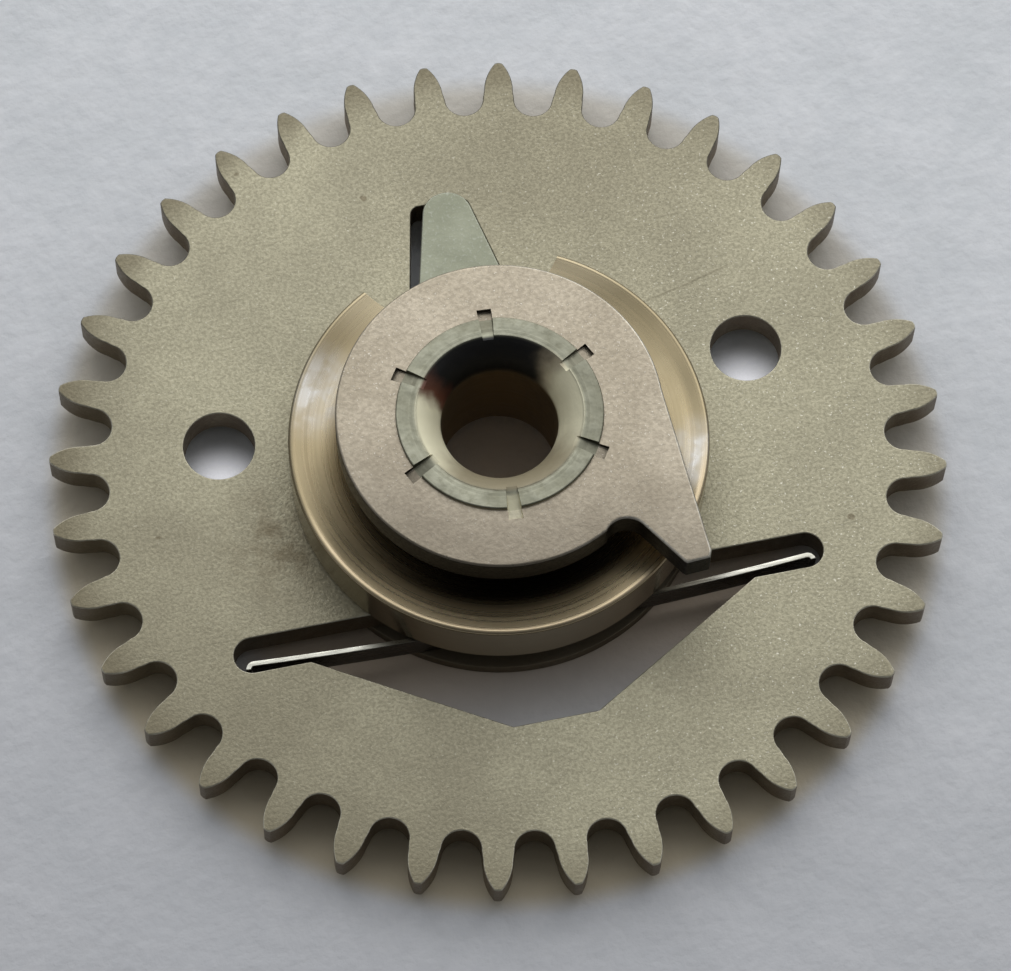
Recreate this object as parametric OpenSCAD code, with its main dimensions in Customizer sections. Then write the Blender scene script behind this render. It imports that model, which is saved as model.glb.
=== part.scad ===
// Calendar driving wheel of a watch: a toothed wheel on a staked hub whose finger turns a
// little way in the wheel's radial slot, with a thin blade spring that bears on the hub's flat.
// The wheel's line of symmetry is +Y, the axis of rotation is Z, and the hub stands on z = 0.

/* [Teeth] */
// Number of teeth
tooth_count = 36; // [32:1:44]
// Module of the teeth: pitch diameter divided by the number of teeth
tooth_module = 0.2; // [0.185:0.005:0.24]
// Thickness of a tooth at the pitch circle
tooth_w = 0.256; // [0.22:0.002:0.28]
// Height of a tooth above the pitch circle
addendum = 0.276; // [0.22:0.002:0.32]
// Depth of a gap below the pitch circle
dedendum = 0.24; // [0.2:0.01:0.28]
// Radius of the two arcs that form the tooth above the pitch circle
ogive_r = 0.43; // [0.4:0.005:0.48]
// Radius that rounds the tip of a tooth
tooth_tip_r = 0.085; // [0.08:0.005:0.1]
// Radius of the round floor between two teeth
gap_floor_r = 0.17; // [0.15:0.005:0.18]
// Turn of the nearest tooth from the wheel's line of symmetry, clockwise
tooth_turn = 1.8; // [-5:0.1:5]

/* [Wheel] */
// Thickness of the wheel
wheel_t = 0.3; // [0.2:0.01:0.4]
// Radius of the two round holes
hole_r = 0.308; // [0.2:0.002:0.4]
// Distance between the centres of the two round holes
hole_spread = 4.67; // [4.2:0.01:5.1]
// Distance of the two holes' line from the axis, towards the finger
hole_y = 0.625; // [0.3:0.005:0.9]

/* [Blade slot] */
// Width of the straight slot that holds the blade
slot_w = 0.313; // [0.26:0.001:0.36]
// Clearance between the blade's hooks and the ends of the slot
slot_end_gap = 0.084; // [0.07:0.002:0.15]
// Clearance between the blade's lower hook and the slot's outer wall
slot_wall_gap = 0.033; // [0.008:0.001:0.04]
// Depth of the tapered opening beyond the slot
relief_depth = 0.916; // [0.6:0.001:1.1]
// Width of the flat end of the tapered opening
relief_floor_w = 0.74; // [0.5:0.01:1]
// Slope of the tapered opening's sides
relief_slope = 30.4; // [26:0.1:38]

/* [Finger plate] */
// Radius of the round part, on which the wheel turns
seat_r = 1.58; // [1.5:0.01:1.64]
// Radial clearance of the wheel on its seat
seat_clearance = 0.02; // [0.01:0.005:0.04]
// Distance from the axis to the flat that the blade bears on
seat_flat = 1.42; // [1.38:0.005:1.46]
// Distance from the axis to the tip of the finger, which lies over the wheel
finger_reach = 2.6; // [2.56:0.005:2.7]
// Radius of the finger's tip
finger_tip_r = 0.22; // [0.18:0.005:0.25]
// Slope of the finger's flanks
finger_slope = 13; // [11:0.1:16]
// Width of the finger's straight root
finger_root_w = 0.74; // [0.68:0.01:0.8]
// Height of the finger above the round part
finger_rise = 0.04; // [0.02:0.005:0.08]
// Turn of the hub in the wheel at rest, clockwise
rest_turn = 0.9; // [0:0.1:0.9]

/* [Radial slot] */
// Distance from the axis to the end of the slot in which the finger turns
radial_reach = 2.535; // [2.45:0.005:2.54]
// Radius of the corners at that end
radial_corner_r = 0.08; // [0.05:0.01:0.12]
// Clearance between the finger and the slot's nearer flank at rest
radial_side_gap = 0.006; // [0.004:0.001:0.03]
// Clearance between the finger's end and the slot's end
radial_end_gap = 0.02; // [0.015:0.005:0.05]
// How much less the slot's flanks slope than the finger's
radial_slope_loss = 1; // [0.5:0.1:1.2]
// Turn of the slot from the wheel's line of symmetry, counter-clockwise
radial_turn = 0.3; // [0:0.1:0.6]

/* [Washer] */
// Thickness of the washer under the wheel
washer_t = 0.12; // [0.08:0.01:0.2]
// How far the washer reaches past the finger plate's round part
washer_lap = 0.2; // [0.1:0.01:0.26]
// End play of the wheel on each side
end_play = 0.02; // [0.01:0.005:0.04]

/* [Collar] */
// How far the dished collar reaches past the finger plate's round part
collar_lap = 0.22; // [0.12:0.01:0.26]
// Height of the collar's rim above its foot
rim_h = 0.52; // [0.4:0.01:0.6]
// Width of the flat edge on top of the rim
rim_edge_w = 0.04; // [0.02:0.005:0.08]
// Depth of the dish below the rim
dish_depth = 0.08; // [0.05:0.01:0.12]
// Distance from the boss to the lowest point of the dish
dish_offset = 0.05; // [0.02:0.01:0.1]
// Radius of the boss that carries the cam
boss_r = 1.05; // [0.98:0.01:1.08]
// Height of the boss above the collar's foot
boss_h = 0.73; // [0.65:0.01:0.85]
// Radius of the cutter that clears the rim over the finger
clearing_r = 1.05; // [0.9:0.01:1.05]
// Distance from the axis to that cutter's axis
clearing_y = 2.18; // [2.18:0.01:2.4]
// Turn of that cutter's axis from the finger
clearing_turn = 1.2; // [-3:0.1:3]

/* [Cam] */
// Radius of the cam's round part
cam_r = 1.39; // [1.3:0.01:1.5]
// Thickness of the cam
cam_t = 0.3; // [0.2:0.01:0.4]
// Turn of the point where the beak's long flank leaves the round part
beak_start = 4.3; // [0:0.1:8]
// Length of the beak's long flank
beak_l = 1.65; // [1.5:0.01:1.75]
// Width of the beak's bevelled tip
beak_tip_w = 0.23; // [0.18:0.005:0.28]
// Bevel at the corners of the beak's tip
beak_bevel = 0.06; // [0.03:0.005:0.09]
// Radius of the undercut behind the beak
undercut_r = 0.185; // [0.15:0.005:0.22]
// Distance from the cam's round part to the centre of the undercut's round end
undercut_out = 0.167; // [0.12:0.001:0.2]
// Direction of the undercut's round end, clockwise from +X
undercut_turn = 57.6; // [55:0.1:60]
// Slope of the undercut's sides, clockwise from +X
undercut_slope = 55.3; // [50:0.1:60]

/* [Tube] */
// Outer radius of the tube
tube_r = 0.88; // [0.8:0.01:0.92]
// Radius of the bore
bore_r = 0.5; // [0.4:0.005:0.56]
// Height of the tube's top above the cam
tube_proud = 0.03; // [0.01:0.005:0.06]
// Radius of the sink at the top of the bore
top_sink_r = 0.71; // [0.64:0.01:0.76]
// Depth of the sink at the top of the bore
top_sink_depth = 0.25; // [0.15:0.01:0.35]
// Radius of the sink at the foot of the bore
foot_sink_r = 0.62; // [0.58:0.01:0.7]
// Depth of the sink at the foot of the bore
foot_sink_depth = 0.28; // [0.15:0.01:0.35]
// Number of punch marks that stake the tube to the cam
stake_count = 6; // [4:1:8]
// Width of a punch mark
stake_w = 0.15; // [0.1:0.01:0.2]
// How far a punch mark reaches over the cam
stake_lap = 0.09; // [0.05:0.01:0.15]
// Depth of a punch mark in the cam
stake_depth = 0.04; // [0.02:0.005:0.08]
// Turn of the punch marks from the finger, clockwise
stake_turn = 2.7; // [-30:0.1:30]

/* [Blade spring] */
// Thickness of the blade
blade_t = 0.045; // [0.03:0.001:0.06]
// Width of the blade, which stands on edge in the slot
blade_h = 0.28; // [0.18:0.01:0.3]
// Distance from the middle of the blade to the start of each end hook
blade_reach = 2.41; // [2.3:0.005:2.6]
// Height of the blade's bow
blade_bow = 0.08; // [0.06:0.005:0.1]
// Lean of the blade that the turned hub gives it
blade_lean = 0.34; // [0:0.02:0.6]
// Radius of the hook at each end
hook_r = 0.05; // [0.03:0.005:0.06]
// Clearance between the blade and the edge of the flat
blade_clearance = 0.003; // [0.001:0.001:0.01]

/* [Hidden] */

// Distance that a cutter runs past a face
past = 0.1;
// Share of a round end's radius at which a straight flank runs into it
blend = 0.996;

// The teeth
pitch_r = tooth_count * tooth_module / 2;
root_r = pitch_r - dedendum;
gap_centre_r = root_r + gap_floor_r;
flank_turn = 180 / tooth_count - 2 * asin(gap_floor_r / (2 * gap_centre_r));
flank_foot = gap_centre_r * [sin(flank_turn), cos(flank_turn)];
flank_top = [tooth_w / 2, pitch_r];
ogive_x = ogive_r - tooth_w / 2;

// Heights from the foot of the hub
wheel_z = washer_t + end_play;
finger_t = wheel_t + 2 * end_play;
collar_z = washer_t + finger_t;
cam_z = collar_z + boss_h;
cam_top = cam_z + cam_t;
tube_h = cam_top + tube_proud;

// The blade bears on the edge of the seat's flat that the turned hub brings forward
seat_edge_x = sqrt(seat_r ^ 2 - seat_flat ^ 2);
edge_x = seat_edge_x * cos(rest_turn) - seat_flat * sin(rest_turn);
edge_y = seat_flat * cos(rest_turn) + seat_edge_x * sin(rest_turn);
blade_r = (blade_reach ^ 2 + blade_bow ^ 2) / (2 * blade_bow);
blade_sag = edge_x ^ 2 / (2 * blade_r) + edge_x * tan(blade_lean);
blade_mid = edge_y + blade_clearance + blade_t / 2 + blade_sag;
blade_turn = asin(blade_reach / blade_r);
blade_z = wheel_z + (wheel_t - blade_h) / 2;

// The slot lies round the blade and its hooks, of which the leaning blade brings one nearer to the wall
hook_drop = blade_bow - hook_r - (blade_reach + hook_r) * sin(blade_lean);
slot_edge = blade_mid - hook_drop + slot_wall_gap;
slot_y = slot_edge - slot_w / 2;
slot_l = 2 * (blade_reach + hook_r + blade_t / 2 + slot_end_gap);

// The radial slot is as wide as the hub's turn in it asks for
finger_centre = finger_reach - finger_tip_r;
radial_slope = finger_slope - radial_slope_loss;
radial_play = finger_centre * sin(rest_turn + radial_turn) + radial_side_gap;
radial_half_w = finger_tip_r / cos(finger_slope) + radial_play;

// The washer below and the collar above reach over the wheel
washer_r = seat_r + washer_lap;
collar_r = seat_r + collar_lap;

// The dish is an arc from its lowest point to the rim's edge
dish_x = boss_r + dish_offset;
dish_run = collar_r - rim_edge_w - dish_x;
dish_r = (dish_run ^ 2 + dish_depth ^ 2) / (2 * dish_depth);

// The beak of the cam
beak_dir = [sin(beak_start), -cos(beak_start)];
beak_out = [cos(beak_start), sin(beak_start)];
undercut_at = (cam_r + undercut_out) * [cos(undercut_turn), -sin(undercut_turn)];

// One tooth, pointing along +Y: straight flanks below the pitch circle and an ogive above it.
// Each flank runs on a little into the ogive and into the gap, whose floor is cut afterwards.
module tooth() {
    run_on = (flank_top - flank_foot) / 4;
    top = flank_top + run_on;
    foot = flank_foot - run_on;
    base = flank_foot + gap_floor_r * [0.5, -0.75];
    polygon([[-base.x, base.y], base, foot, top, [-top.x, top.y], [-foot.x, foot.y]]);
    intersection() {
        translate([-ogive_x, pitch_r]) circle(ogive_r, $fn = 72);
        translate([ogive_x, pitch_r]) circle(ogive_r, $fn = 72);
        translate([0, pitch_r + addendum - tooth_tip_r]) {
            circle(tooth_tip_r, $fn = 32);
            translate([-tooth_w, -2 * ogive_r]) square([2 * tooth_w, 2 * ogive_r]);
        }
    }
}

module toothed_outline() {
    difference() {
        union() {
            circle(root_r + gap_floor_r / 2, $fn = 180);
            for (i = [0:tooth_count - 1])
                rotate(i * 360 / tooth_count - tooth_turn) tooth();
        }
        for (i = [0:tooth_count - 1])
            rotate((i + 0.5) * 360 / tooth_count - tooth_turn)
                translate([0, gap_centre_r]) circle(gap_floor_r, $fn = 32);
    }
}

// The tapered finger along +Y with its round tip and straight root
module finger_outline() {
    joint = [0, finger_centre] + blend * finger_tip_r * [cos(finger_slope), sin(finger_slope)];
    root = [finger_root_w / 2, joint.y - (finger_root_w / 2 - joint.x) / tan(finger_slope)];
    translate([0, finger_centre]) circle(finger_tip_r, $fn = 48);
    polygon([joint, [-joint.x, joint.y], [-root.x, root.y], [-root.x, 0], [root.x, 0], root]);
}

// The tapered slot for the finger, with a flat end and round corners
module radial_opening() {
    corner_y = radial_reach - radial_corner_r;
    flank = [cos(radial_slope), sin(radial_slope)];
    corner_x = radial_half_w - (corner_y - finger_centre) * tan(radial_slope) - radial_corner_r / flank.x;
    joint = [corner_x, corner_y] + blend * radial_corner_r * flank;
    root_y = seat_r / 2;
    root_x = joint.x + (joint.y - root_y) * tan(radial_slope);
    end_y = corner_y + blend * radial_corner_r;
    for (side = [-1, 1])
        translate([side * corner_x, corner_y]) circle(radial_corner_r, $fn = 32);
    polygon([[corner_x, end_y], [-corner_x, end_y], [-joint.x, joint.y], [-root_x, root_y], [root_x, root_y],
             joint]);
}

// The straight slot and the tapered opening that gives the blade room to bend
module blade_opening() {
    end_x = (slot_l - slot_w) / 2;
    mouth_x = relief_floor_w / 2 + relief_depth / tan(relief_slope);
    translate([0, -slot_y]) square([2 * end_x, blend * slot_w], center = true);
    for (side = [-1, 1])
        translate([side * end_x, -slot_y]) circle(slot_w / 2, $fn = 48);
    floor_y = slot_edge + relief_depth;
    polygon([[-mouth_x, -slot_y], [-mouth_x, -slot_edge], [-relief_floor_w / 2, -floor_y],
             [relief_floor_w / 2, -floor_y], [mouth_x, -slot_edge], [mouth_x, -slot_y]]);
}

// The punch marks across the joint of tube and cam
module stake_marks() {
    depth = stake_depth + tube_proud;
    inner = top_sink_r - past;
    for (i = [0:stake_count - 1])
        rotate(i * 360 / stake_count - stake_turn) translate([-stake_w / 2, inner, tube_h - depth])
            cube([stake_w, tube_r + stake_lap - inner, depth + past]);
}

module toothed_wheel() {
    color([0.64, 0.62, 0.52])
        translate([0, 0, wheel_z]) linear_extrude(wheel_t)
            difference() {
                toothed_outline();
                circle(seat_r + seat_clearance, $fn = 120);
                rotate(radial_turn) radial_opening();
                blade_opening();
                for (side = [-1, 1])
                    translate([side * hole_spread / 2, hole_y]) circle(hole_r, $fn = 60);
            }
}

function heading(turn) = [sin(turn), -cos(turn)];
function mirrored(station) = [[-station[0].x, station[0].y], [-station[1].x, station[1].y]];

// The blade: a bowed strip on edge, with a small hook at each end that faces the slot's outer wall.
// A station is a point of its centre line and the direction of its outer side there.
module blade_spring() {
    bow_steps = 24;
    hook_steps = 8;
    bow = [for (i = [-bow_steps:bow_steps])
        let (side = heading(i * blade_turn / bow_steps)) [[0, blade_r] + blade_r * side, side]];
    hook_centre = [0, blade_r] + (blade_r + hook_r) * heading(blade_turn);
    hook = [for (i = [1:hook_steps])
        let (side = heading(blade_turn - 90 * i / hook_steps)) [hook_centre - hook_r * side, side]];
    stations = concat([for (i = [1:hook_steps]) mirrored(hook[hook_steps - i])], bow, hook);
    outer = [for (s = stations) s[0] + blade_t / 2 * s[1]];
    inner = [for (i = [len(stations) - 1:-1:0]) stations[i][0] - blade_t / 2 * stations[i][1]];
    color([0.86, 0.85, 0.8])
        translate([0, -blade_mid, blade_z]) rotate(blade_lean) linear_extrude(blade_h)
            polygon(concat(outer, inner));
}

module hub_tube() {
    color([0.66, 0.67, 0.62])
        rotate(-rest_turn) difference() {
            cylinder(tube_h, tube_r, tube_r, $fn = 120);
            translate([0, 0, -past]) cylinder(tube_h + 2 * past, bore_r, bore_r, $fn = 96);
            translate([0, 0, tube_h - top_sink_depth]) cylinder(top_sink_depth, bore_r, top_sink_r, $fn = 96);
            cylinder(foot_sink_depth, foot_sink_r, bore_r, $fn = 96);
            stake_marks();
        }
}

module retaining_washer() {
    color([0.6, 0.6, 0.56])
        rotate(-rest_turn) linear_extrude(washer_t) difference() {
            circle(washer_r, $fn = 120);
            circle(tube_r, $fn = 120);
        }
}

// The finger fills its slot below and lies over the wheel above, outside the round part
module finger_plate() {
    low_reach = radial_reach - radial_end_gap;
    rise_y = seat_r + 2 * seat_clearance;
    color([0.65, 0.66, 0.58])
        rotate(-rest_turn) {
            translate([0, 0, washer_t]) linear_extrude(finger_t) difference() {
                union() {
                    circle(seat_r, $fn = 120);
                    finger_outline();
                }
                circle(tube_r, $fn = 120);
                translate([-seat_r - past, -seat_flat - seat_r]) square([2 * (seat_r + past), seat_r]);
                translate([-finger_root_w, low_reach]) square([2 * finger_root_w, finger_reach]);
            }
            translate([0, 0, collar_z]) linear_extrude(finger_rise) difference() {
                finger_outline();
                translate([-finger_root_w, -past]) square([2 * finger_root_w, rise_y + past]);
            }
        }
}

module collar_profile() {
    difference() {
        union() {
            translate([tube_r, 0]) square([collar_r - tube_r, rim_h]);
            translate([tube_r, 0]) square([boss_r - tube_r, boss_h]);
        }
        intersection() {
            translate([dish_x, rim_h - dish_depth + dish_r]) circle(dish_r, $fn = 144);
            translate([boss_r, 0]) square([collar_r - boss_r, rim_h + past]);
        }
    }
}

module dished_collar() {
    color([0.68, 0.6, 0.45])
        rotate(-rest_turn) translate([0, 0, collar_z]) difference() {
            rotate_extrude($fn = 120) collar_profile();
            rotate(clearing_turn) translate([0, clearing_y, -past])
                cylinder(rim_h + 2 * past, clearing_r, clearing_r, $fn = 96);
        }
}

module cam_outline() {
    start = blend * cam_r * beak_out;
    corner = start + beak_l * beak_dir;
    inner = corner - beak_tip_w * beak_out;
    difference() {
        union() {
            circle(cam_r, $fn = 120);
            polygon([[0, 0], inner - beak_tip_w * (beak_dir + beak_out), inner - beak_bevel * beak_out,
                     inner + beak_bevel * beak_dir, corner + beak_bevel * (beak_dir - beak_out / 2),
                     corner, start]);
        }
        translate(undercut_at) circle(undercut_r, $fn = 48);
        translate(undercut_at) rotate(-undercut_slope) translate([0, -blend * undercut_r])
            square([cam_r, 2 * blend * undercut_r]);
    }
}

module date_cam() {
    color([0.7, 0.65, 0.58])
        rotate(-rest_turn) difference() {
            translate([0, 0, cam_z]) linear_extrude(cam_t) difference() {
                cam_outline();
                circle(tube_r, $fn = 120);
            }
            stake_marks();
        }
}

toothed_wheel();
blade_spring();
hub_tube();
retaining_washer();
finger_plate();
dished_collar();
date_cam();
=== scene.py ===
from math import acos, asin, atan2, cos, degrees, hypot, radians, sin, sqrt, tan

import bpy
from mathutils import Matrix, Vector


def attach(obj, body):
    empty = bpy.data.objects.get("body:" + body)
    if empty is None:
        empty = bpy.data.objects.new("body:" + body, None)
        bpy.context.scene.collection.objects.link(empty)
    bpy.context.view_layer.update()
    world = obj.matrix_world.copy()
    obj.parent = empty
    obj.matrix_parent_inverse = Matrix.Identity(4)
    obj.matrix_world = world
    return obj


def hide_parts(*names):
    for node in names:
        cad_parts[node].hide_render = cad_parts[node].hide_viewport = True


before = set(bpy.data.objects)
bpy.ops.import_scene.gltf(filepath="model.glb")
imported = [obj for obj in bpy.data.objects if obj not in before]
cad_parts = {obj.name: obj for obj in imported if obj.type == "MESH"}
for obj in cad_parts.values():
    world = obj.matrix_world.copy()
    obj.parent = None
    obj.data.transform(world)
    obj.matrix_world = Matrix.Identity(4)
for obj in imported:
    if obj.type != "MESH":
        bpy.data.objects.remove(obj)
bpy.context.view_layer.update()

mm = 0.001       # shapes are drawn in millimetres and brought to metres when finished
restTurn = 0.9   # the hub lies this many degrees clockwise in the wheel at rest


# camera

view = dict(azimuth=-13.6, elevation=67.409, roll=1.93, distance=40.9, aim=(0.0147, -0.2304, 0.44),
            lens=169.03, sensor=36, near=1, far=5000)   # degrees and millimetres


def addCamera(v=view):
    data = bpy.data.cameras.new("camera")
    data.lens, data.sensor_width = v["lens"], v["sensor"]
    data.clip_start, data.clip_end = v["near"] * mm, v["far"] * mm
    camera = bpy.data.objects.new("camera", data)
    bpy.context.scene.collection.objects.link(camera)
    side, rise, roll = radians(v["azimuth"]), radians(v["elevation"]), radians(v["roll"])
    back = Vector((sin(side) * cos(rise), -cos(side) * cos(rise), sin(rise)))
    level = Vector((0, 0, 1)).cross(back).normalized()
    upright = back.cross(level)
    right = level * cos(roll) + upright * sin(roll)
    up = upright * cos(roll) - level * sin(roll)
    turn = Matrix((right, up, back)).transposed().to_4x4()
    place = (Vector(v["aim"]) + back * v["distance"]) * mm
    camera.matrix_world = Matrix.Translation(place) @ turn
    bpy.context.scene.camera = camera


addCamera()
bpy.context.scene.view_settings.view_transform = "Standard"
print("camera placed")


# shader maths and nodes

class Value:
    # one socket of a node tree: sums on it become Math nodes
    def __init__(self, tree, socket):
        self.tree, self.socket = tree, socket

    def math(self, operation, *values):
        node = self.tree.nodes.new("ShaderNodeMath")
        node.operation = operation
        for socket, value in zip(node.inputs, values):
            feed(self.tree, socket, value)
        return Value(self.tree, node.outputs[0])

    def __add__(self, other): return self.math("ADD", self, other)
    def __radd__(self, other): return self.math("ADD", other, self)
    def __sub__(self, other): return self.math("SUBTRACT", self, other)
    def __rsub__(self, other): return self.math("SUBTRACT", other, self)
    def __mul__(self, other): return self.math("MULTIPLY", self, other)
    def __rmul__(self, other): return self.math("MULTIPLY", other, self)
    def __truediv__(self, other): return self.math("DIVIDE", self, other)
    def __rtruediv__(self, other): return self.math("DIVIDE", other, self)
    def __pow__(self, other): return self.math("POWER", self, other)
    def __abs__(self): return self.math("ABSOLUTE", self)


def feed(tree, socket, value):
    if isinstance(value, Value):
        tree.links.new(value.socket, socket)
    elif socket.type == "RGBA" and len(value) == 3:
        socket.default_value = (*value, 1)
    else:
        socket.default_value = value


class Nodes:
    # adds nodes to one tree
    def __init__(self, tree):
        self.tree = tree

    def add(self, kind, settings=None, sockets=None, out=0):
        node = self.tree.nodes.new("ShaderNode" + kind)
        for name, value in (settings or {}).items():
            setattr(node, name, value)
        for name, value in (sockets or {}).items():
            feed(self.tree, node.inputs[name], value)
        return Value(self.tree, node.outputs[out])

    def place(self, scale=(1, 1, 1)):
        # the point on the object, in millimetres
        point = self.add("TexCoord", out="Object")
        return self.add("Mapping", {}, {"Vector": point, "Scale": tuple(s / mm for s in scale)})

    def parts(self, vector):
        return [self.add("SeparateXYZ", {}, {0: vector}, out=i) for i in range(3)]

    def upward(self):
        # 1 where the surface faces up, 0 on walls, -1 below
        return self.parts(self.add("TexCoord", out="Normal"))[2]

    def noise(self, point, scale, detail=2, roughness=0.5):
        return self.add("TexNoise", {}, {"Vector": point, "Scale": scale, "Detail": detail,
                                         "Roughness": roughness})

    def lineNoise(self, value, scale, detail=2, roughness=0.5):
        # noise along one number, such as a radius
        return self.add("TexNoise", {"noise_dimensions": "1D"}, {"W": value, "Scale": scale, "Detail": detail,
                                                                 "Roughness": roughness})

    def stretch(self, value, low, high, bottom=0, top=1):
        return self.add("MapRange", {"interpolation_type": "SMOOTHSTEP"},
                        {"Value": value, "From Min": low, "From Max": high, "To Min": bottom, "To Max": top})

    def mix(self, share, first, second):
        return self.add("Mix", {"data_type": "RGBA", "blend_type": "MIX", "clamp_factor": True},
                        {0: share, 6: first, 7: second}, out=2)

    def dot(self, first, second):
        return self.add("VectorMath", {"operation": "DOT_PRODUCT"}, {0: first, 1: second}, out="Value")

    def bump(self, height, depth, below=None, strength=1.0):
        sockets = {"Height": height, "Distance": depth * mm, "Strength": strength}
        if below:
            sockets["Normal"] = below
        return self.add("Bump", {}, sockets)

    def spot(self, point, centre, radius):
        # 1 at a place on the object, falling to 0 at the radius
        away = self.add("VectorMath", {"operation": "DISTANCE"}, {0: point, 1: centre}, out="Value")
        return self.stretch(away, radius, 0)

    def slanted(self):
        # 1 on the rounded edges, which face neither up nor sideways
        upright = abs(self.upward())
        return self.stretch(upright, 0.08, 0.35) * self.stretch(upright, 0.995, 0.93)


class Finish(Nodes):
    # a material of one principled shader, whose colour is laid on in coats
    def __init__(self, name, **sockets):
        self.material = bpy.data.materials.new(name)
        self.material.use_nodes = True
        super().__init__(self.material.node_tree)
        self.shader = self.tree.nodes["Principled BSDF"]
        self.set(**sockets)

    def set(self, **sockets):
        for name, value in sockets.items():
            feed(self.tree, self.shader.inputs[name.replace("_", " ")], value)

    def ground(self, share, dark, light):
        self.colour = self.mix(share, paint(dark), paint(light))

    def coat(self, share, colour):
        self.colour = self.mix(share, self.colour, paint(colour))


def fromAxis(x, y):
    # how far a point lies from the hub's axis
    return (x * x + y * y) ** 0.5


def paint(colour):
    # a screen colour as light
    shares = [c / 255 for c in colour]
    return tuple(s / 12.92 if s < 0.0404 else ((s + 0.055) / 1.055) ** 2.4 for s in shares)


# finishes: colours are screen colours, scales and depths go with millimetres

wheelLook = dict(dark=(164, 158, 136), light=(180, 174, 150), grain=(136, 131, 111), speck=(236, 232, 216),
                 darkerAndShaded=(118, 110, 91), dirt=(110, 98, 76), scratch=(104, 96, 76), darkPatch=(112, 100, 78),
                 worn=(120, 112, 92), wall=(112, 98, 80), edge=(214, 209, 190), northEdge=(92, 88, 74),
                 grainScale=36, speckScale=46, cloudScale=0.75, dirtScale=5,
                 grainDepth=0.004, cloudDepth=0.01, roughness=(0.47, 0.58),
                 northShadeAt=(1.2, 3, 0.44), northShadeRadius=2.5, darkPatchAt=(-1.95, -0.35, 0.44), darkPatchRadius=0.75,
                 scratchTurn=14.5, scratchOff=0.8, scratchStart=1.25, scratchEnd=2.5, scratchHalf=0.014)


def blastedFinish(w=wheelLook):
    f = Finish("blasted_nickel", Metallic=0.85)
    p = f.place()
    x, y = f.parts(p)[:2]
    grain = f.noise(p, w["grainScale"], 3, 0.65)
    cloud = f.noise(p, w["cloudScale"], 4, 0.6)
    f.ground(f.stretch(cloud, 0.34, 0.66), w["dark"], w["light"])
    f.coat(f.stretch(grain, 0.32, 0.68) * 0.4, w["grain"])
    # bright specks, partly the grain and partly painted glints, more of them towards the east
    speck = f.stretch(f.noise(p, w["speckScale"], 1), 0.67, 0.77)
    f.coat(speck * f.stretch(x, -1.5, 2.5, 0.25, 0.7), w["speck"])
    # darker towards the southwest, and painted shade in one broad spot in the north
    darkerAndShaded = f.stretch(x + y * 0.5 + cloud * 2, -0.4, -2.8) + f.spot(p, w["northShadeAt"], w["northShadeRadius"])
    f.coat(darkerAndShaded * 0.42, w["darkerAndShaded"])
    # a little dirt and one long fine scratch
    f.coat(f.stretch(f.noise(p, w["dirtScale"], 1), 0.76, 0.8) * 0.6, w["dirt"])
    turn = radians(w["scratchTurn"])
    across = abs(x * sin(turn) - y * cos(turn) + w["scratchOff"] + (cloud - 0.5) * 0.08)
    start, end = w["scratchStart"], w["scratchEnd"]
    scratch = f.stretch(across, w["scratchHalf"], 0.004) * f.stretch(x, start, start + 0.2)
    f.coat(scratch * f.stretch(x, end, end - 0.3) * 0.35, w["scratch"])
    # a blotchy dark patch beside the collar, and teeth that are worn darker towards their tips
    darkPatch = f.spot(p, w["darkPatchAt"], w["darkPatchRadius"]) * f.stretch(f.noise(p, 3.5, 4, 0.7), 0.36, 0.7)
    f.coat(darkPatch * 0.75, w["darkPatch"])
    worn = f.stretch(fromAxis(x, y) + f.noise(p, 3, 3) * 0.3, 3.6, 4)
    f.coat(worn * f.stretch(y - x, 0, 3, 0.4, 0.8), w["worn"])
    # painted shade makes the walls darker than the faces, less so in the far west; the rounded edges are
    # lighter, partly wear and partly a painted highlight, but not in the north
    wall = f.stretch(abs(f.upward()), 0.6, 0.1) * f.stretch(f.noise(p, 6, 2), 0.3, 0.6, 0.75, 0.95)
    f.coat(wall * f.stretch(x, -2.4, -3.6, 1, 0.65), w["wall"])
    edge = f.slanted()
    f.coat(edge * f.stretch(f.noise(p, 4, 2), 0.35, 0.6, 0.25, 0.7), w["edge"])
    f.coat(edge * f.stretch(y, 0.5, 2.5) * 0.8, w["northEdge"])
    f.set(Base_Color=f.colour, Roughness=f.stretch(grain, 0.3, 0.7, *w["roughness"]) - edge * 0.12,
          Normal=f.bump(grain, w["grainDepth"], f.bump(cloud, w["cloudDepth"], strength=0.5)))
    return f.material


camLook = dict(dark=(174, 163, 144), light=(190, 179, 160), grain=(154, 143, 126), speck=(236, 230, 216),
               darkerSouth=(128, 119, 105), edge=(228, 222, 208), wall=(34, 29, 22), below=(48, 40, 28),
               punched=(96, 88, 74), punchHighlightSouth=(250, 242, 214),
               grainScale=30, speckScale=60, cloudScale=1.3,
               grainDepth=0.003, cloudDepth=0.01, roughness=(0.42, 0.54))


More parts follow.
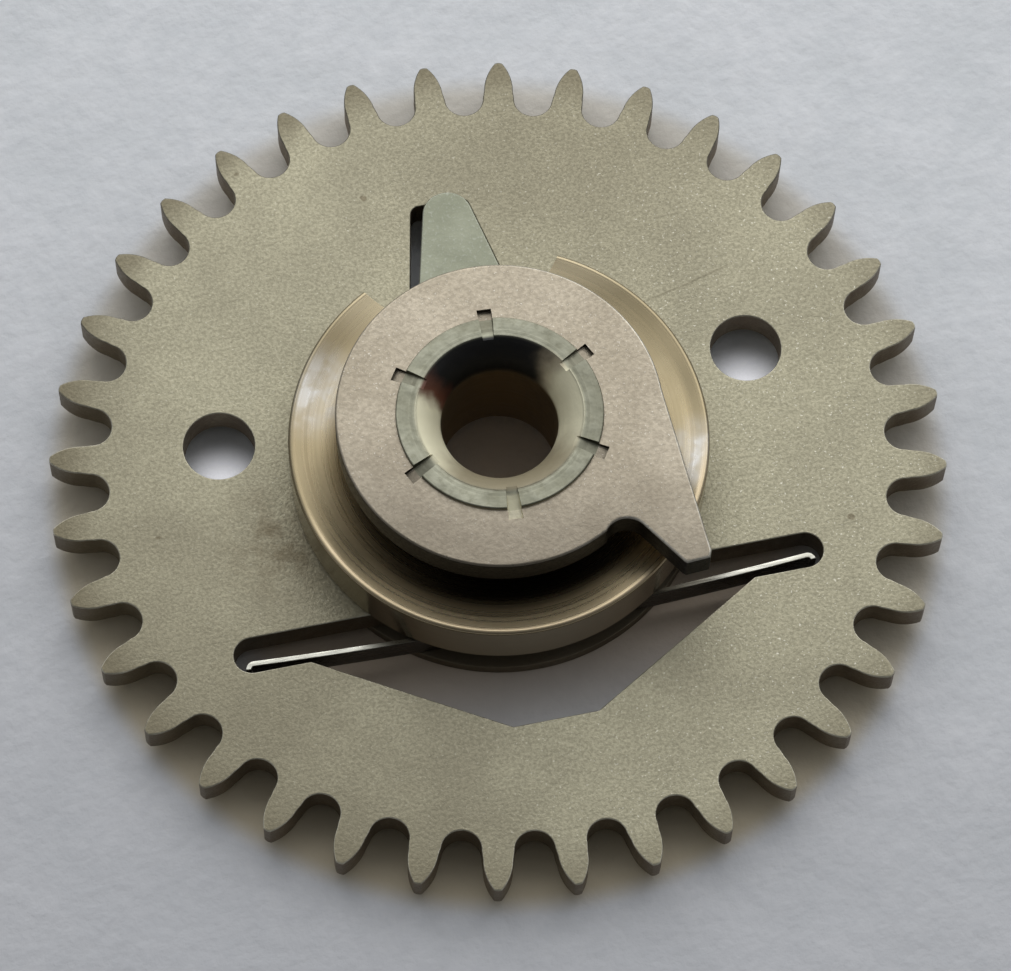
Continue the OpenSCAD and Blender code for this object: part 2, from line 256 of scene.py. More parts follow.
def matteFinish(c=camLook):
    f = Finish("matte_plate", Metallic=0.85)
    p = f.place()
    x, y, z = f.parts(p)
    radius = fromAxis(x, y)
    grain = f.noise(p, c["grainScale"], 3, 0.6)
    cloud = f.noise(p, c["cloudScale"], 3)
    f.ground(f.stretch(cloud, 0.35, 0.65), c["dark"], c["light"])
    f.coat(f.stretch(grain, 0.3, 0.7) * 0.35, c["grain"])
    f.coat(f.stretch(f.noise(p, c["speckScale"], 1), 0.66, 0.78) * 0.7, c["speck"])
    # darker towards the south
    f.coat(f.stretch(y + x * 0.3 + cloud * 0.6, 0.1, -0.9) * 0.6, c["darkerSouth"])
    # painted highlight on the rounded edges in the east
    edge = f.slanted()
    f.coat(edge * f.stretch(x, 0, 1) * f.stretch(f.noise(p, 3, 2), 0.35, 0.6, 0.3, 0.8), c["edge"])
    # painted shade on the walls and on the underside over the dish
    upward = f.upward()
    f.coat(f.stretch(upward, 0.8, 0.2) * f.stretch(upward, -0.8, -0.5), c["wall"])
    f.coat(f.stretch(upward, -0.6, -0.8) * f.stretch(radius, 1.36, 1.22), c["below"])
    # painted shade in the punch marks, and a painted highlight in those in the south
    punched = f.stretch(radius, 1, 0.98) * f.stretch(z, 1.486, 1.478)
    f.coat(punched * f.stretch(y, -0.8, -0.2, 0, 0.5), c["punched"])
    f.coat(punched * f.stretch(y, -0.6, -0.9, 0, 0.8), c["punchHighlightSouth"])
    f.set(Base_Color=f.colour, Roughness=f.stretch(grain, 0.3, 0.7, *c["roughness"]) - edge * 0.15,
          Normal=f.bump(grain, c["grainDepth"], f.bump(cloud, c["cloudDepth"], strength=0.5)))
    return f.material


collarLook = dict(dark=(182, 166, 132), light=(198, 182, 148), westInside=(238, 216, 170),
                  west=(120, 108, 84), north=(248, 230, 192), northWest=(130, 116, 90),
                  outside=(140, 128, 102), streak=(196, 193, 188), northRim=(126, 116, 94),
                  south=(244, 222, 180), ring=(160, 142, 108), shadeUnderCam=(24, 21, 16),
                  southRim=(196, 178, 147), boss=(84, 72, 52), wall=(146, 134, 106),
                  northWestAt=(-1.2, 1.25, 0.93), northWestRadius=0.6, streakAt=(-1.45, 0.75, 0.93),
                  streakRadius=0.55, secondStreakAt=(1.62, -0.5, 0.93), secondStreakRadius=0.45,
                  ringScale=30, fineScale=110, cloudScale=1.6, ringDepth=0.0001, roughness=(0.26, 0.32))


def turnedGoldFinish(c=collarLook):
    f = Finish("turned_plate", Metallic=1.0)
    p = f.place()
    x, y, z = f.parts(p)
    radius = fromAxis(x, y)
    travel = radius + z * 0.8     # the tool leaves rings on the dish and on the walls
    rings = f.lineNoise(travel, c["ringScale"], 3, 0.7)
    fine = f.lineNoise(travel, c["fineScale"], 2)
    f.ground(f.stretch(f.noise(p, c["cloudScale"], 3), 0.3, 0.7), c["dark"], c["light"])
    # painted reflections: lighter at the inside in the west and at the north, darker in the outer west, in a
    # spot in the north-west and near the rim
    f.coat(f.stretch(x, -0.9, -1.3) * f.stretch(radius, 1.62, 1.42) * 0.22, c["westInside"])
    f.coat(f.stretch(x, -1, -1.4) * f.stretch(radius, 1.5, 1.65) * 0.6, c["west"])
    f.coat(f.stretch(y, 1.1, 1.5) * 0.85, c["north"])
    f.coat(f.spot(p, c["northWestAt"], c["northWestRadius"]) * 0.6, c["northWest"])
    f.coat(f.stretch(y, 0.7, 0.1) * f.stretch(radius, 1.62, 1.7) * 0.7, c["outside"])
    # two pale streaks across the rings, painted reflections
    streak = (f.spot(p, c["streakAt"], c["streakRadius"]) * 0.7
              + f.spot(p, c["secondStreakAt"], c["secondStreakRadius"]) * 0.85)
    f.coat(streak * f.stretch(f.noise(p, 6, 3), 0.35, 0.6, 0.6, 1.4), c["streak"])
    # painted shade on the rim in the north
    f.coat(f.stretch(radius, 1.745, 1.765) * f.stretch(y, 0, 0.6) * 0.7, c["northRim"])
    # painted light in the south, painted shade under the cam and on the boss, a painted light line on the rim
    # in the south, and a darker colour on the outer wall
    south = f.stretch(y, -0.7, -1.4)
    f.coat(south * 0.8, c["south"])
    f.coat(f.stretch(rings, 0.35, 0.65) * 0.12, c["ring"])
    f.coat(south * f.stretch(radius, 1.59, 1.43) * 0.9, c["shadeUnderCam"])
    f.coat(f.stretch(y, -0.2, -0.8) * f.stretch(radius, 1.71, 1.77), c["southRim"])
    f.coat(f.stretch(radius, 1.16, 1.06) * 0.9, c["boss"])
    wall = f.stretch(abs(f.upward()), 0.7, 0.2) * f.stretch(radius, 1.74, 1.79)
    f.coat(wall * 0.9, c["wall"])
    f.set(Base_Color=f.colour, Roughness=f.stretch(rings, 0.3, 0.7, *c["roughness"]) - wall * 0.1,
          Normal=f.bump(rings, c["ringDepth"], f.bump(fine, c["ringDepth"])))
    return f.material


tubeLook = dict(dark=(142, 141, 124), light=(160, 159, 142), mottle=(122, 120, 102), east=(96, 94, 80),
                mouthSides=(250, 243, 210), mouthSouth=(164, 153, 126), mouthWest=(104, 62, 44),
                mouthNorth=(14, 13, 13), bore=(146, 128, 98), punched=(90, 86, 72),
                punchHighlightSouth=(226, 220, 190), ringScale=40, waveScale=5, mottleScale=14,
                ringDepth=0.0008, waveDepth=0.01, roughness=(0.42, 0.52))


def turnedSteelFinish(t=tubeLook):
    f = Finish("turned_steel", Metallic=1.0)
    p = f.place()
    x, y, z = f.parts(p)
    radius = fromAxis(x, y)
    rings = f.lineNoise(radius + z * 0.7, t["ringScale"], 3, 0.7)
    wave = f.noise(p, t["waveScale"], 3)
    f.ground(f.stretch(wave, 0.35, 0.65), t["dark"], t["light"])
    f.coat(f.stretch(f.noise(p, t["mottleScale"], 3, 0.6), 0.45, 0.7) * 0.45, t["mottle"])
    # the mouth of the bore gets painted shade at the north, is reddish brown in the north-west, and gets
    # painted light at its sides, less in the south
    north = y / radius + (wave - 0.5) * 0.3
    mouth = f.mix(f.stretch(abs(north), 0.3, 0.8), paint(t["mouthSides"]), paint(t["mouthSouth"]))
    mouth = f.mix(f.stretch(north, 0.3, 0.55) * f.stretch(x, 0.2, 0, 0.3, 1), mouth, paint(t["mouthWest"]))
    mouth = f.mix(f.stretch(north, 0.5, 0.8), mouth, paint(t["mouthNorth"]))
    funnel = f.stretch(radius, 0.73, 0.69)
    f.colour = f.mix(funnel, f.colour, mouth)
    f.coat(f.stretch(x, 0.3, 0.8) * 0.3, t["east"])
    # the punch marks are like those of the cam: painted shade, and a painted highlight in the south
    punched = f.stretch(radius, 0.72, 0.76) * f.stretch(z, 1.514, 1.5)
    f.coat(punched * f.stretch(y, -0.8, -0.2, 0, 0.5), t["punched"])
    f.coat(punched * f.stretch(y, -0.6, -0.8, 0, 0.8), t["punchHighlightSouth"])
    # deep in the bore it is plain metal again
    deep = funnel * f.stretch(z, 1.3, 1.2)
    f.coat(deep, t["bore"])
    f.set(Base_Color=f.colour, Metallic=1 - funnel * 0.75 + deep * 0.75,
          Roughness=f.stretch(rings, 0.3, 0.7, *t["roughness"]),
          Normal=f.bump(rings, t["ringDepth"], f.bump(wave, t["waveDepth"])))
    return f.material


fingerLook = dict(dark=(134, 136, 118), light=(148, 150, 132), fleck=(206, 208, 194),
                  grainScale=34, cloudScale=2.2, grainDepth=0.001, cloudDepth=0.02, roughness=(0.42, 0.51))
washerLook = dict(dark=(112, 102, 84), light=(122, 112, 94), fleck=(130, 120, 102),
                  grainScale=34, cloudScale=2.2, grainDepth=0.001, cloudDepth=0.02, roughness=(0.56, 0.65))


def satinFinish(name, s):
    f = Finish(name, Metallic=0.85)
    p = f.place()
    grain = f.noise(p, s["grainScale"], 2)
    cloud = f.noise(p, s["cloudScale"], 3)
    f.ground(f.stretch(cloud, 0.3, 0.7), s["dark"], s["light"])
    f.coat(f.stretch(grain, 0.5, 0.75) * 0.3, s["fleck"])
    # painted highlight on the rounded edges
    f.coat(f.slanted() * 0.4, s["fleck"])
    f.set(Base_Color=f.colour, Roughness=f.stretch(grain, 0.3, 0.7, *s["roughness"]),
          Normal=f.bump(grain, s["grainDepth"], f.bump(cloud, s["cloudDepth"], strength=0.6)))
    return f.material


bladeLook = dict(dark=(204, 202, 190), light=(228, 226, 214), line=(170, 166, 150), middle=(70, 64, 52),
                 side=(62, 56, 46), middleStart=-1.6, middleEnd=1.9, fade=0.4, lineScale=4, cloudScale=2.5,
                 lineDepth=0.002, roughness=(0.22, 0.38))


def springFinish(b=bladeLook):
    f = Finish("spring_steel", Metallic=1.0)
    p = f.place()
    lines = f.noise(f.place(scale=(1, 12, 12)), b["lineScale"], 3, 0.6)
    f.ground(f.stretch(f.noise(p, b["cloudScale"], 2), 0.35, 0.65), b["dark"], b["light"])
    f.coat(f.stretch(lines, 0.45, 0.7) * 0.4, b["line"])
    # painted shade towards the hub and on its sides
    x = f.parts(p)[0]
    start, end = b["middleStart"], b["middleEnd"]
    middle = f.stretch(x, start, start + b["fade"]) * f.stretch(x, end, end - b["fade"])
    f.coat(middle * 0.85, b["middle"])
    f.coat(f.stretch(f.upward(), 0.7, 0.2) * 0.92, b["side"])
    f.set(Base_Color=f.colour, Roughness=f.stretch(lines, 0.3, 0.7, *b["roughness"]),
          Normal=f.bump(lines, b["lineDepth"]))
    return f.material


paperLook = dict(dark=(228, 230, 233), light=(238, 239, 242), fibre=(212, 215, 220), south=(180, 179, 184),
                 slot=(190, 168, 140), gap=(200, 184, 150), glow=(0.51, 0.51, 0.54),
                 glowAt=((-2.36, 0.42, 0), (2.31, 0.42, 0)), glowRadius=0.45,
                 fibreScale=7, cloudScale=1.1, fibreDepth=0.012, cloudDepth=0.04)


def paperFinish(s=paperLook):
    f = Finish("paper", Roughness=0.95)
    p = f.place()
    x, y = f.parts(p)[:2]
    radius = fromAxis(x, y)
    fibre = f.noise(p, s["fibreScale"], 4, 0.6)
    cloud = f.noise(p, s["cloudScale"], 4, 0.6)
    f.ground(f.stretch(cloud, 0.3, 0.7), s["dark"], s["light"])
    f.coat(f.stretch(fibre, 0.35, 0.7) * 0.3, s["fibre"])
    # painted shade: darker towards the south and the west
    f.coat(f.stretch(y + x * 0.45, 5, -6) * 0.5, s["south"])
    # painted shade, warmed by light thrown back from the metal, in the blade's slot, under the bore and
    # between the teeth
    slot = f.stretch(radius, 3, 2.4) * f.stretch(y, -2.6, -1.4) * f.stretch(y, 0.1, -0.3)
    f.coat(slot * 0.8 + f.stretch(radius, 0.7, 0.5) * 0.6, s["slot"])
    gaps = f.stretch(radius, 3, 3.3) * f.stretch(radius, 4, 3.75) * f.stretch(y + x * 0.4, 2, -3, 0.55, 1)
    f.coat(gaps * 0.8, s["gap"])
    # painted light: the paper glows under the two round holes, where light comes down through them
    glow = f.spot(p, s["glowAt"][0], s["glowRadius"]) + f.spot(p, s["glowAt"][1], s["glowRadius"])
    f.set(Base_Color=f.colour, Normal=f.bump(fibre, s["fibreDepth"], f.bump(cloud, s["cloudDepth"])),
          Emission_Color=f.mix(glow, (0, 0, 0), s["glow"]), Emission_Strength=1)
    return f.material


blastedNickel = blastedFinish()
mattePlate = matteFinish()
turnedPlate = turnedGoldFinish()
turnedSteel = turnedSteelFinish()
satinSteel = satinFinish("satin_steel", fingerLook)
plainSteel = satinFinish("plain_steel", washerLook)
springSteel = springFinish()
paper = paperFinish()
print("finishes made")


# points, in millimetres

def polar(radius, turn, centre=(0, 0)):
    return (centre[0] + radius * cos(radians(turn)), centre[1] + radius * sin(radians(turn)))


def arc(centre, radius, start, end, steps):
    return [polar(radius, start + (end - start) * i / steps, centre) for i in range(steps + 1)]


def circle(centre, radius, steps):
    return arc(centre, radius, 0, 360 - 360 / steps, steps - 1)


def bearing(point, centre=(0, 0)):
    return degrees(atan2(point[1] - centre[1], point[0] - centre[0]))


def turned(points, turn):
    c, s = cos(radians(turn)), sin(radians(turn))
    return [(x * c - y * s, x * s + y * c) for x, y in points]


def mirrored(points):
    return [(-x, y) for x, y in reversed(points)]


def bothSides(points):
    # a right-hand half, from bottom to top, closed by its mirror image
    return points + mirrored(points)


def along(point, direction, length):
    return (point[0] + direction[0] * length, point[1] + direction[1] * length)


def onCircle(point, direction, radius, side=1):
    # where a line enters (-1) or leaves (1) a circle about the axis
    dot = point[0] * direction[0] + point[1] * direction[1]
    length = -dot + side * sqrt(dot * dot - point[0] ** 2 - point[1] ** 2 + radius ** 2)
    return along(point, direction, length)


def whereCirclesMeet(centre, radius, other, otherRadius, side):
    # the meeting point to the left (1) or right (-1) of the line from one centre to the other
    apart = hypot(other[0] - centre[0], other[1] - centre[1])
    opening = degrees(acos((apart ** 2 + radius ** 2 - otherRadius ** 2) / (2 * apart * radius)))
    return polar(radius, bearing(other, centre) + side * opening, centre)


# modelling

def only(piece):
    # select this piece alone
    bpy.ops.object.select_all(action="DESELECT")
    piece.select_set(True)
    bpy.context.view_layer.objects.active = piece


def setPlace(piece):
    # bring the piece's place, turn and size into its mesh
    only(piece)
    bpy.ops.object.transform_apply(location=True, rotation=True, scale=True)
    return piece


def startEdit(piece):
    only(piece)
    bpy.ops.object.mode_set(mode="EDIT")
    bpy.ops.mesh.select_all(action="SELECT")


def closeUp(piece, gap):
    # in edit mode: merge doubled points, turn the faces outward and leave the mode
    bpy.ops.mesh.select_all(action="SELECT")
    bpy.ops.mesh.remove_doubles(threshold=gap)
    bpy.ops.mesh.normals_make_consistent(inside=False)
    bpy.ops.object.mode_set(mode="OBJECT")
    return piece


def plate(name, loops, low, high, edge, segments=2):
    # a flat piece from its outline and holes: a filled flat curve with rounded edges, made a mesh
    data = bpy.data.curves.new(name, "CURVE")
    data.dimensions, data.fill_mode = "2D", "BOTH"
    data.extrude, data.bevel_depth, data.offset = (high - low) / 2 - edge, edge, -edge
    data.bevel_resolution = segments
    for loop in loops:
        spline = data.splines.new("POLY")
        spline.points.add(len(loop) - 1)
        spline.points.foreach_set("co", [c for x, y in loop for c in (x, y, 0, 1)])
        spline.use_cyclic_u = True
    piece = bpy.data.objects.new(name, data)
    bpy.context.scene.collection.objects.link(piece)
    only(piece)
    bpy.ops.object.convert(target="MESH")
    piece.location.z = (low + high) / 2
    setPlace(piece)
    startEdit(piece)
    return closeUp(piece, gap=0.0002)


def turnedPiece(name, profile, steps=256):
    # a ring that is drawn out along its profile and closed on itself
    radius, height = profile[0]
    bpy.ops.object.select_all(action="DESELECT")
    bpy.ops.mesh.primitive_circle_add(vertices=steps, radius=radius, location=(0, 0, height))
    piece = bpy.context.object
    piece.name = piece.data.name = name
    setPlace(piece)
    startEdit(piece)
    for nextRadius, nextHeight in profile[1:] + profile[:1]:
        bpy.ops.mesh.extrude_edges_move(TRANSFORM_OT_translate={"value": (0, 0, nextHeight - height)})
        if nextRadius != radius:
            share = nextRadius / radius
            bpy.ops.transform.resize(value=(share, share, 1), center_override=(0, 0, nextHeight))
        radius, height = nextRadius, nextHeight
    return closeUp(piece, gap=0.0005)


def cylinder(radius, place):
    # an upright cutter through the whole height
    bpy.ops.object.select_all(action="DESELECT")
    bpy.ops.mesh.primitive_cylinder_add(vertices=180, radius=radius, depth=3, location=(*place, 0.8))
    return setPlace(bpy.context.object)


def cut(piece, cutter, operation="DIFFERENCE"):
    only(piece)
    hole = piece.modifiers.new("cut", "BOOLEAN")
    hole.operation, hole.solver, hole.object = operation, "EXACT", cutter
    bpy.ops.object.modifier_apply(modifier=hole.name)


def drop(piece):
    bpy.data.objects.remove(piece, do_unlink=True)


def rounded(piece, width):
    only(piece)
    bevel = piece.modifiers.new("edges", "BEVEL")
    bevel.width, bevel.segments = width, 2
    bevel.limit_method, bevel.angle_limit = "ANGLE", radians(35)
    bevel.harden_normals = False
    bpy.ops.object.modifier_apply(modifier=bevel.name)


def finish(piece, body, node, material):
    # smooth the piece, bring it to metres, and hang it on its body in place of the CAD node
    only(piece)
    bpy.ops.object.shade_smooth_by_angle(angle=radians(38))
    flatten = piece.modifiers.new("flat", "WEIGHTED_NORMAL")
    flatten.keep_sharp = True
    bpy.ops.object.modifier_apply(modifier=flatten.name)
    piece.scale = (mm, mm, mm)
    setPlace(piece)
    piece.data.materials.clear()
    piece.data.materials.append(material)
    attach(piece, body)
    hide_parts(node)
    print(piece.name, len(piece.data.polygons), "faces")


# the toothed wheel

toothedWheel = dict(teeth=36, pitchRadius=3.6, toothWidth=0.256, addendum=0.276, gapCentre=3.53,
                    gapRadius=0.17, ogiveRadius=0.43, tipRadius=0.085, toothTurn=1.8,
                    low=0.14, high=0.44, edge=0.012, bore=1.6, holeRadius=0.308, holeX=2.335, holeY=0.625,
                    radialReach=2.535, radialCorner=0.08, radialHalf=0.2816, radialAt=2.38, radialSlope=12,
                    radialTurn=0.3, slotWall=1.171, slotEdge=1.484, slotEnd=2.41, slotRound=0.1565,
                    reliefDepth=0.916, reliefFloor=0.37, reliefSlope=30.4)


def toothPoints(w):
    # one tooth and the gap on its right-hand side, along +Y, from the gap's middle to the left flank
    half = 180 / w["teeth"]
    flank = half - 2 * degrees(asin(w["gapRadius"] / (2 * w["gapCentre"])))
    foot = polar(w["gapCentre"], 90 - flank)
    gap = polar(w["gapCentre"], 90 - half)
    ogive = (w["toothWidth"] / 2 - w["ogiveRadius"], w["pitchRadius"])
    tip = (0, w["pitchRadius"] + w["addendum"] - w["tipRadius"])
    meet = whereCirclesMeet(tip, w["tipRadius"], ogive, w["ogiveRadius"], -1)
    floor = arc(gap, w["gapRadius"], 270 - half, bearing(foot, gap), 11)
    crown = arc(ogive, w["ogiveRadius"], 0, bearing(meet, ogive), 9)
    nose = arc(tip, w["tipRadius"], bearing(meet, tip), 90, 6)
    return floor + crown + nose[1:]


def makeToothedWheel(w=toothedWheel):
    right = toothPoints(w)
    tooth = right + mirrored(right)[1:-1]
    rim = []
    for i in range(w["teeth"]):
        rim += turned(tooth, i * 360 / w["teeth"] - w["toothTurn"])
    # the radial slot, from the bore round its two corners and back
    slope = radians(w["radialSlope"])
    cornerY = w["radialReach"] - w["radialCorner"]
    cornerX = w["radialHalf"] - (cornerY - w["radialAt"]) * tan(slope) - w["radialCorner"] / cos(slope)
    corner = arc((cornerX, cornerY), w["radialCorner"], w["radialSlope"], 90, 9)
    mouth = onCircle(corner[0], (sin(slope), -cos(slope)), w["bore"], -1)
    radial = turned(bothSides([mouth] + corner), w["radialTurn"])
    # the blade's slot and the tapered opening
    wall = (sqrt(w["bore"] ** 2 - w["slotWall"] ** 2), -w["slotWall"])
    middle = (w["slotEnd"], -(w["slotWall"] + w["slotEdge"]) / 2)
    mouthX = w["reliefFloor"] + w["reliefDepth"] / tan(radians(w["reliefSlope"]))
    straight = ([(w["reliefFloor"], -w["slotEdge"] - w["reliefDepth"]), (mouthX, -w["slotEdge"])]
                + arc(middle, w["slotRound"], -90, 90, 20))
    opening = (straight + arc((0, 0), w["bore"], bearing(wall), bearing(radial[0]), 90)[:-1] + radial
               + arc((0, 0), w["bore"], bearing(radial[-1]), 180 - bearing(wall), 90)[1:]
               + mirrored(straight))
    holes = [circle((side * w["holeX"], w["holeY"]), w["holeRadius"], 72) for side in (-1, 1)]
    piece = plate("toothed_wheel_plate", [rim, opening] + holes, w["low"], w["high"], w["edge"])
    finish(piece, "wheel", "toothed_wheel", blastedNickel)


makeToothedWheel()


# the finger plate, on which the wheel turns

fingerPlate = dict(radius=1.58, flat=1.42, reach=2.6, tipRadius=0.22, slope=13, root=0.37, hole=0.88,
                   low=0.12, high=0.46, rise=0.04, riseFrom=1.62, lowReach=2.515, edge=0.016)


def makeFingerPlate(p=fingerPlate):
    # the round part with the finger's root
    root = (p["root"], p["riseFrom"] + p["rise"])
    foot = (p["root"], sqrt(p["radius"] ** 2 - p["root"] ** 2))
    corner = (sqrt(p["radius"] ** 2 - p["flat"] ** 2), -p["flat"])
    disc = bothSides([corner] + arc((0, 0), p["radius"], bearing(corner), bearing(foot), 100)[1:] + [root])
    loops = [turned(disc, -restTurn), circle((0, 0), p["hole"], 180)]
    piece = plate("finger_plate_body", loops, p["low"], p["high"], p["edge"], 3)
    # the finger, which is higher and lies over the wheel with its tip
    tip = (0, p["reach"] - p["tipRadius"])
    shoulder = polar(p["tipRadius"], p["slope"], tip)
    rootY = shoulder[1] - (p["root"] - shoulder[0]) / tan(radians(p["slope"]))
    outline = bothSides([(p["root"], p["riseFrom"]), (p["root"], rootY)]
                        + arc(tip, p["tipRadius"], p["slope"], 90, 16)[:-1])
    finger = plate("finger", [turned(outline, -restTurn)], p["low"], p["high"] + p["rise"], p["edge"], 3)
    # the step under the tip is cut past the finger on all sides
    half, far, below = 0.5, 3, -0.1
    under = [(-half, p["lowReach"]), (half, p["lowReach"]), (half, far), (-half, far)]
    step = plate("step", [turned(under, -restTurn)], below, p["high"], 0)
    cut(finger, step)
    drop(step)
    cut(piece, finger, "UNION")
    drop(finger)
    finish(piece, "hub", "finger_plate", satinSteel)


makeFingerPlate()


# the washer under the wheel

washer = dict(radius=1.78, hole=0.88, low=0, high=0.12, edge=0.012)


def makeWasher(w=washer):
    loops = [circle((0, 0), w["radius"], 260), circle((0, 0), w["hole"], 180)]
    piece = plate("washer_disc", loops, w["low"], w["high"], w["edge"])
    finish(piece, "hub", "retaining_washer", plainSteel)


makeWasher()


# the tube and the punch marks that stake it to the cam

tube = dict(radius=0.88, bore=0.5, top=1.52, sinkRadius=0.71, sinkDepth=0.25, bulge=20, footRadius=0.62,
            footDepth=0.28, edge=0.014, footEdge=0.01, ringAt=0.8, lip=((0.025, 0.001), (0.01, 0.003)),
            boreRings=(0.9, 0.6))
stakes = dict(count=6, width=0.15, inner=0.66, outer=0.97, innerDepth=0.015, outerDepth=0.075, turn=2.7,
              innerShare=0.6, outerShare=0.8, tall=0.2)


def makeStakeCutter(s=stakes):
    # six tapered punch marks across the joint of tube and cam, as one cutter
    cutters = []
    middle = (0, (s["inner"] + s["outer"]) / 2, tube["top"] + s["tall"] / 2)
    for i in range(s["count"]):
        bpy.ops.object.select_all(action="DESELECT")
        bpy.ops.mesh.primitive_cube_add(size=1, location=middle,
                                        scale=(s["width"], s["outer"] - s["inner"], s["tall"]))
        cutter = setPlace(bpy.context.object)
        for vertex in cutter.data.vertices:
            if vertex.co.z < middle[2]:
                side = "outer" if vertex.co.y > middle[1] else "inner"
                vertex.co.z = tube["top"] - s[side + "Depth"]
                vertex.co.x *= s[side + "Share"]
        cutter.rotation_euler.z = radians(i * 360 / s["count"] - s["turn"] - restTurn)
        cutters.append(setPlace(cutter))
    for cutter in cutters:
        cutter.select_set(True)
    bpy.ops.object.join()
    return bpy.context.object


def makeTube(stakeCutter, t=tube):
    e, top, foot = t["edge"], t["top"], t["footEdge"]
    # the mouth of the bore bulges a little, from flat at the top to steep at the bore
    chord = hypot(t["sinkRadius"] - t["bore"], t["sinkDepth"])
    square = 90 + degrees(atan2(t["sinkDepth"], t["sinkRadius"] - t["bore"]))
    bend = chord / (2 * sin(radians(t["bulge"])))
    start = polar(bend, square - t["bulge"])
    centre = (t["sinkRadius"] - start[0], top - start[1])
    bell = arc(centre, bend, square - t["bulge"], square + t["bulge"], 12)
    profile = ([(t["footRadius"], 0), (t["radius"] - foot, 0), (t["radius"], foot)]
               + [polar(e, turn, (t["radius"] - e, top - e)) for turn in (0, 23, 45, 68)]
               + [(t["radius"] - e, top), (t["ringAt"], top)]
               + [(t["sinkRadius"] + out, top - down) for out, down in t["lip"]] + bell
               + [(t["bore"], z) for z in (bell[-1][1] - 0.02, *t["boreRings"], t["footDepth"])])
    piece = turnedPiece("hub_tube_body", profile, 192)
    cut(piece, stakeCutter)
    finish(piece, "hub", "hub_tube", turnedSteel)


# the cam

cam = dict(radius=1.39, start=4.3, inset=0.996, flank=1.65, tipWidth=0.23, bevel=0.06,
           undercutRadius=0.185, undercutOut=0.167, undercutTurn=57.6, undercutSlope=55.3,
           hole=0.88, low=1.19, high=1.49, edge=0.024)


def camOutline(c):
    out = polar(1, c["start"])
    down = (out[1], -out[0])
    start = along((0, 0), out, c["inset"] * c["radius"])
    corner = along(start, down, c["flank"])
    inner = along(corner, out, -c["tipWidth"])
    nose = along(along(corner, down, c["bevel"]), out, -c["bevel"] / 2)
    heel = along(inner, down, c["bevel"])
    toe = along(inner, out, -c["bevel"])
    leave = onCircle(start, down, c["radius"])
    under = polar(c["radius"] + c["undercutOut"], -c["undercutTurn"])
    run = polar(1, -c["undercutSlope"])
    side = (-run[1], run[0])
    root = along(under, side, c["undercutRadius"])
    # the undercut's outer side meets the beak's end between heel and toe
    edge = (toe[0] - heel[0], toe[1] - heel[1])
    apart = (root[0] - heel[0], root[1] - heel[1])
    share = (apart[0] * run[1] - apart[1] * run[0]) / (edge[0] * run[1] - edge[1] * run[0])
    mouth = along(heel, edge, share)
    entry = whereCirclesMeet(under, c["undercutRadius"], (0, 0), c["radius"], 1)
    return (arc((0, 0), c["radius"], bearing(leave), bearing(entry) % 360, 220)
            + arc(under, c["undercutRadius"], bearing(entry, under), bearing(root, under), 18)[1:]
            + [mouth, heel, nose, corner])


def makeCam(stakeCutter, c=cam):
    piece = plate("date_cam_plate", [turned(camOutline(c), -restTurn)], c["low"], c["high"], c["edge"], 3)
    hole = cylinder(c["hole"], (0, 0))
    cut(piece, hole)
    drop(hole)
    cut(piece, stakeCutter)
    finish(piece, "hub", "date_cam", mattePlate)


# the dished collar

collar = dict(radius=1.8, foot=0.46, rim=0.98, rimEdge=0.04, rimRound=0.03, boss=1.05, bossTop=1.19,
              dishLow=0.90, dishX=1.1, clearing=1.05, clearingY=2.18, clearingTurn=1.2, bore=0.88, edge=0.012,
              bevel=0.007)


def makeCollar(c=collar):
    run, rise = c["radius"] - c["rimEdge"] - c["dishX"], c["rim"] - c["dishLow"]
    dish = (run ** 2 + rise ** 2) / (2 * rise)
    sweep = degrees(asin(run / dish))
    back = degrees(asin((c["dishX"] - c["boss"]) / dish))
    bowl = arc((c["dishX"], c["dishLow"] + dish), dish, -90 + sweep, -90 - back, 28)
    shoulder = arc((c["radius"] - c["rimRound"], c["rim"] - c["rimRound"]), c["rimRound"], 0, 90, 5)
    profile = ([(c["bore"], c["foot"]), (c["radius"] - c["edge"], c["foot"]),
                (c["radius"], c["foot"] + c["edge"])]
               + shoulder + bowl + [(c["boss"], c["bossTop"]), (c["bore"], c["bossTop"])])
    piece = turnedPiece("dished_collar_body", profile)
    clearing = cylinder(c["clearing"], polar(c["clearingY"], 90 + c["clearingTurn"]))
    cut(piece, clearing)
    drop(clearing)
    piece.rotation_euler.z = radians(-restTurn)
    setPlace(piece)
    rounded(piece, c["bevel"])
    finish(piece, "hub", "dished_collar", turnedPlate)


stakeCutter = makeStakeCutter()
makeCam(stakeCutter)
makeTube(stakeCutter)
drop(stakeCutter)
makeCollar()


# the blade spring

blade = dict(thick=0.045, low=0.15, high=0.43, reach=2.41, radius=36.34, middle=1.4664, lean=0.34, hook=0.05,
             edge=0.006)


def makeBlade(b=blade):
    turn = degrees(asin(b["reach"] / b["radius"]))
    hookAt = (0, b["radius"])
    hook = polar(b["radius"] + b["hook"], -90 + turn, hookAt)

    def rightHalf(out):
        # from the middle to the end of the hook, out from the blade's centre line
        return (arc(hookAt, b["radius"] + out, -90, -90 + turn, 40)
                + arc(hook, b["hook"] - out, 90 + turn, turn, 8)[1:])

    outer, inner = rightHalf(b["thick"] / 2), rightHalf(-b["thick"] / 2)
    loop = outer + inner[::-1][:-1] + [(-x, y) for x, y in inner] + mirrored(outer)[:-1]
    loop = [(x, y - b["middle"]) for x, y in turned(loop, b["lean"])]
    piece = plate("blade_strip", [loop], b["low"], b["high"], b["edge"])
    finish(piece, "wheel", "blade_spring", springSteel)


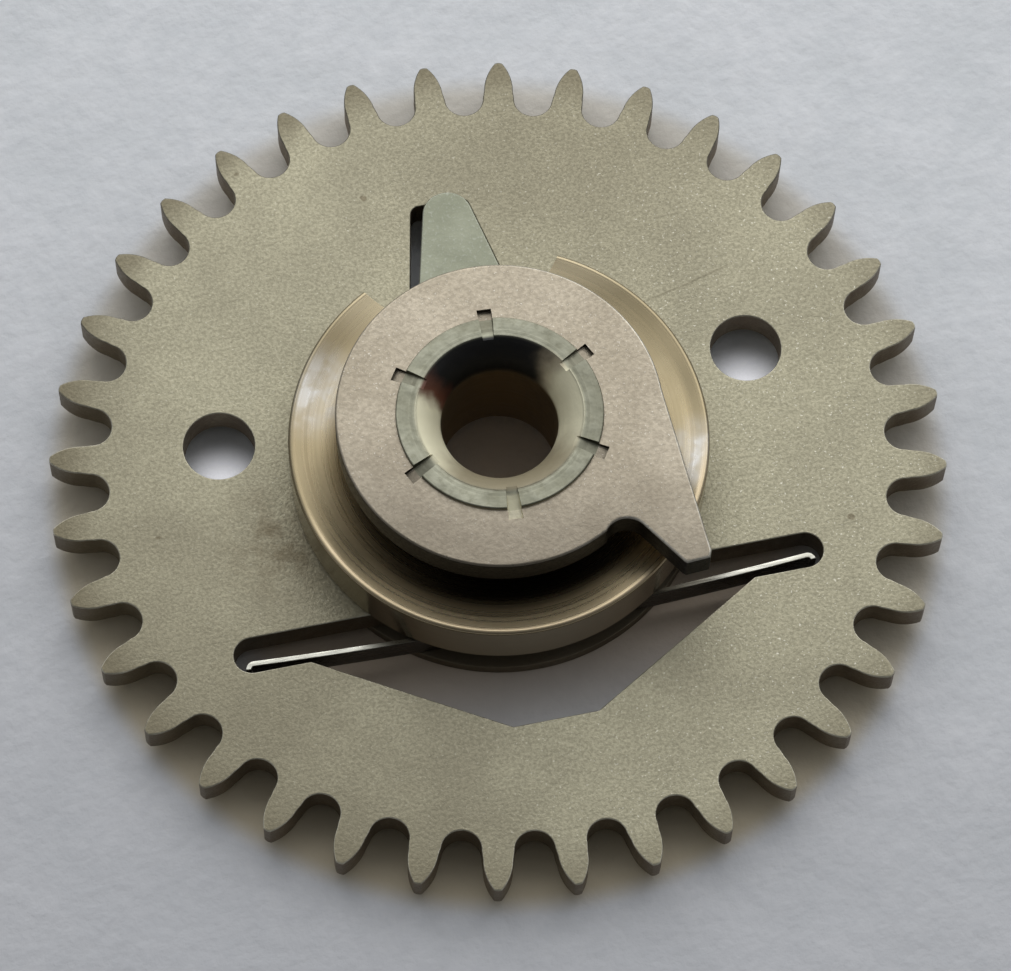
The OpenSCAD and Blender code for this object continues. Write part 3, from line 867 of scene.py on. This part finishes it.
makeBlade()
print("pieces made")


# paper, lamp and sky

floor = dict(size=200, height=-0.005)                         # millimetres
lamp = dict(place=(9, 26, 27), size=(50, 34), power=0.0068)   # millimetres and watts
sky = dict(towards=(0.1, 0.45, 0.88), low=0.1, high=1, dark=0.09, bright=0.88, colour=(0.95, 0.98, 1),
           shade=(-0.09, -0.373, 0.923), shadeStart=0.66, shadeEnd=0.94, shadeLoss=0.7,
           windows=(((0.42, 0.22, 0.88), 0.12), ((-0.23, 0.5, 0.84), 0.2)), windowStart=0.97, windowEnd=0.998)


def addFloor(f=floor):
    bpy.ops.object.select_all(action="DESELECT")
    bpy.ops.mesh.primitive_plane_add(size=f["size"] * mm, location=(0, 0, f["height"] * mm))
    sheet = bpy.context.object
    sheet.name = "paper_floor"
    sheet.data.materials.append(paper)


def addLamp(v=lamp):
    data = bpy.data.lights.new("window", "AREA")
    data.shape, data.size, data.size_y = "RECTANGLE", v["size"][0] * mm, v["size"][1] * mm
    data.energy = v["power"]
    window = bpy.data.objects.new("window", data)
    bpy.context.scene.collection.objects.link(window)
    # the lamp faces the origin
    window.location = Vector(v["place"]) * mm
    window.rotation_euler = Vector(v["place"]).to_track_quat("Z", "Y").to_euler()


def addSky(s=sky):
    world = bpy.data.worlds.new("sky")
    bpy.context.scene.world = world
    world.use_nodes = True
    n = Nodes(world.node_tree)
    direction = n.add("TexCoord", out="Generated")
    light = n.stretch(n.dot(direction, s["towards"]), s["low"], s["high"], s["dark"], s["bright"])
    # the camera keeps the light off
    shade = n.stretch(n.dot(direction, s["shade"]), s["shadeStart"], s["shadeEnd"], 1, 1 - s["shadeLoss"])
    light = light * shade
    # two small bright windows
    for place, strength in s["windows"]:
        light = light + n.stretch(n.dot(direction, place), s["windowStart"], s["windowEnd"], 0, strength)
    background = world.node_tree.nodes["Background"]
    feed(world.node_tree, background.inputs["Color"], s["colour"])
    feed(world.node_tree, background.inputs["Strength"], light)


addFloor()
addLamp()
addSky()
print("stage set")
